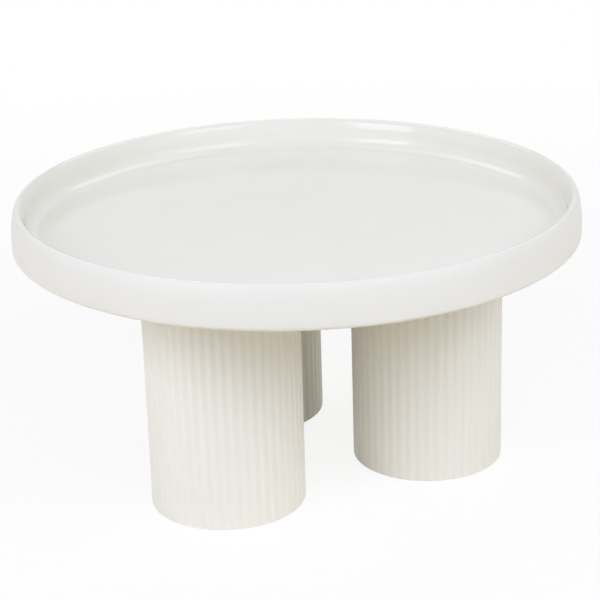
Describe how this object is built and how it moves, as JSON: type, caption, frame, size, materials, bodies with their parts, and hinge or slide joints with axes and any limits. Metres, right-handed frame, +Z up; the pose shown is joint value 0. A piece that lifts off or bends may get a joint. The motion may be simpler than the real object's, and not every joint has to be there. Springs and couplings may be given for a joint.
{
  "type": "cake stand",
  "caption": "Low round stoneware cake stand: a dished plate with a thick rounded lip, raised on hollow ribbed column legs with soft foot pads.",
  "frame": {"origin": "on the table, under the centre of the plate", "axes": "+Z up through the centre of the plate; one leg stands at the back along +Y and two at the front, left and right"},
  "size_m": [0.3, 0.3, 0.15],
  "materials": {
    "plate_glaze": "off-white glaze, glossy in the dish and satin outside",
    "leg_glaze": "warm white satin glaze over fine ribs",
    "bond": "cured bond, matt",
    "foot_pad": "soft pale grey, matt"
  },
  "bodies": {
    "root": {"plate": "plate_glaze", "leg_front_left": "leg_glaze", "leg_front_right": "leg_glaze", "leg_back": "leg_glaze", "bond_front_left": "bond", "bond_front_right": "bond", "bond_back": "bond", "foot_pad_front_left": "foot_pad", "foot_pad_front_right": "foot_pad", "foot_pad_back": "foot_pad"}
  },
  "joints": []
}
